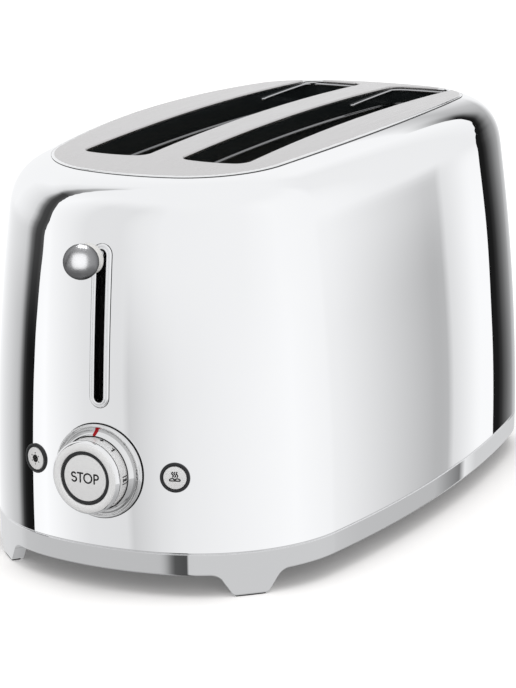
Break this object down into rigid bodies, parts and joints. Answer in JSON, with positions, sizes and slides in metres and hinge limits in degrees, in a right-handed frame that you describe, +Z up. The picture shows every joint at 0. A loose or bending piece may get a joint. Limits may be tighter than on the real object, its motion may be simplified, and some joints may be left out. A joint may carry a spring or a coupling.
{
  "type": "toaster",
  "caption": "Long-slot electric toaster with a chromed shell, slide lever, browning dial with stop button, side push buttons, self-centring bread cages and a slide-out crumb tray.",
  "frame": {"origin": "on the ground, under the centre of the whole object's box, which runs from the lever's ball to the back of the body", "axes": "+X across the toaster, +Y along its length away from the control end, +Z up"},
  "size_m": [0.208, 0.3942, 0.208],
  "materials": {
    "shell_chrome": "mirror polished",
    "plate_steel": "brushed along the slots",
    "dark_steel": "heat-darkened",
    "band_chrome": "satin bright",
    "pad_rubber": "matt",
    "pan_steel": "matt",
    "screw_steel": "zinc plated",
    "chassis_steel": "bright rolled",
    "black_plastic": "fine matt",
    "rod_steel": "ground",
    "iron": "bare",
    "copper_winding": "enamelled wire",
    "trim_chrome": "mirror polished",
    "ring_plastic": "smoked",
    "board_green": "solder mask",
    "wire_steel": "plain wire, a little heat-tinted",
    "collar_satin": "satin",
    "knob_satin": "satin",
    "button_satin": "satin",
    "tray_steel": "plain",
    "mica": "layered",
    "heater_alloy": "oxidised"
  },
  "bodies": {
    "chassis": {"outer_shell": "shell_chrome", "top_plate": "plate_steel", "slot_collar_left": "dark_steel", "slot_collar_right": "dark_steel", "base_band": "band_chrome", "foot_pads": "pad_rubber", "base_pan": "pan_steel", "base_screws": "screw_steel", "cable_gland": "pad_rubber", "tray_rails": "pan_steel", "front_end_plate": "chassis_steel", "rear_end_plate": "chassis_steel", "heat_shield_left": "chassis_steel", "heat_shield_right": "chassis_steel", "terminal_block": "black_plastic", "guide_rods": "rod_steel", "guide_bracket": "chassis_steel", "lift_spring": "rod_steel", "magnet_core": "iron", "magnet_coil": "copper_winding", "power_switch": "black_plastic", "lever_bezel": "trim_chrome", "lever_shroud": "black_plastic", "dial_flange": "trim_chrome", "potentiometer": "black_plastic", "button_rings": "ring_plastic", "control_board": "board_green", "board_switches": "black_plastic", "board_bracket": "chassis_steel", "board_spacers": "rod_steel", "board_screws": "screw_steel", "heater_card_left_outer": "mica", "heater_card_left_inner": "mica", "heater_card_right_inner": "mica", "heater_card_right_outer": "mica", "heater_ribbon_left_outer": "heater_alloy", "heater_ribbon_left_inner": "heater_alloy", "heater_ribbon_right_inner": "heater_alloy", "heater_ribbon_right_outer": "heater_alloy"},
    "lever_carriage": {"carriage": "chassis_steel", "armature": "iron", "bread_lifter_left": "wire_steel", "bread_lifter_right": "wire_steel", "lever_arm": "rod_steel", "lever_knob": "trim_chrome", "lever_collar": "collar_satin"},
    "browning_dial": {"dial_knob": "knob_satin", "dial_light_ring": "ring_plastic", "dial_spindle": "black_plastic"},
    "stop_push": {"stop_button": "button_satin"},
    "defrost_push": {"defrost_button": "button_satin"},
    "reheat_push": {"reheat_button": "button_satin"},
    "tray": {"crumb_tray": "tray_steel", "crumb_tray_grip": "band_chrome"},
    "cage_left_outer": {"bread_cage_left_outer": "wire_steel"},
    "cage_left_inner": {"bread_cage_left_inner": "wire_steel"},
    "cage_right_inner": {"bread_cage_right_inner": "wire_steel"},
    "cage_right_outer": {"bread_cage_right_outer": "wire_steel"}
  },
  "joints": [
    {"name": "lever_slide", "type": "slide", "parent": "chassis", "child": "lever_carriage", "axis": [0, 0, -1], "range_m": [0, 0.07], "stiffness_N_per_m": 120, "springref_m": -0.08, "deforming": ["lift_spring"]},
    {"name": "dial_turn", "type": "hinge", "parent": "chassis", "child": "browning_dial", "pos_m": [0, -0.19023, 0.0615], "axis": [0, -1, 0], "range_deg": [0, 300]},
    {"name": "stop_press", "type": "slide", "parent": "chassis", "child": "stop_push", "axis": [0, 1, 0], "range_m": [0, 0.0016], "stiffness_N_per_m": 900, "springref_m": -0.001},
    {"name": "defrost_press", "type": "slide", "parent": "chassis", "child": "defrost_push", "axis": [0.3073, 0.9516, 0], "range_m": [0, 0.0015], "stiffness_N_per_m": 900, "springref_m": -0.001},
    {"name": "reheat_press", "type": "slide", "parent": "chassis", "child": "reheat_push", "axis": [-0.3073, 0.9516, 0], "range_m": [0, 0.0015], "stiffness_N_per_m": 900, "springref_m": -0.001},
    {"name": "tray_slide", "type": "slide", "parent": "chassis", "child": "tray", "axis": [0, 1, 0], "range_m": [0, 0.2]},
    {"name": "cage_left_outer_squeeze", "type": "slide", "parent": "chassis", "child": "cage_left_outer", "axis": [1, 0, 0], "range_m": [0, 0.008]},
    {"name": "cage_left_inner_squeeze", "type": "slide", "parent": "chassis", "child": "cage_left_inner", "axis": [-1, 0, 0], "range_m": [0, 0.008]},
    {"name": "cage_right_inner_squeeze", "type": "slide", "parent": "chassis", "child": "cage_right_inner", "axis": [1, 0, 0], "range_m": [0, 0.008]},
    {"name": "cage_right_outer_squeeze", "type": "slide", "parent": "chassis", "child": "cage_right_outer", "axis": [-1, 0, 0], "range_m": [0, 0.008]}
  ],
  "couplings": [
    {"joint": "cage_left_outer_squeeze", "follows": "lever_slide", "ratio": 0.11429},
    {"joint": "cage_left_inner_squeeze", "follows": "lever_slide", "ratio": 0.11429},
    {"joint": "cage_right_inner_squeeze", "follows": "lever_slide", "ratio": 0.11429},
    {"joint": "cage_right_outer_squeeze", "follows": "lever_slide", "ratio": 0.11429}
  ]
}
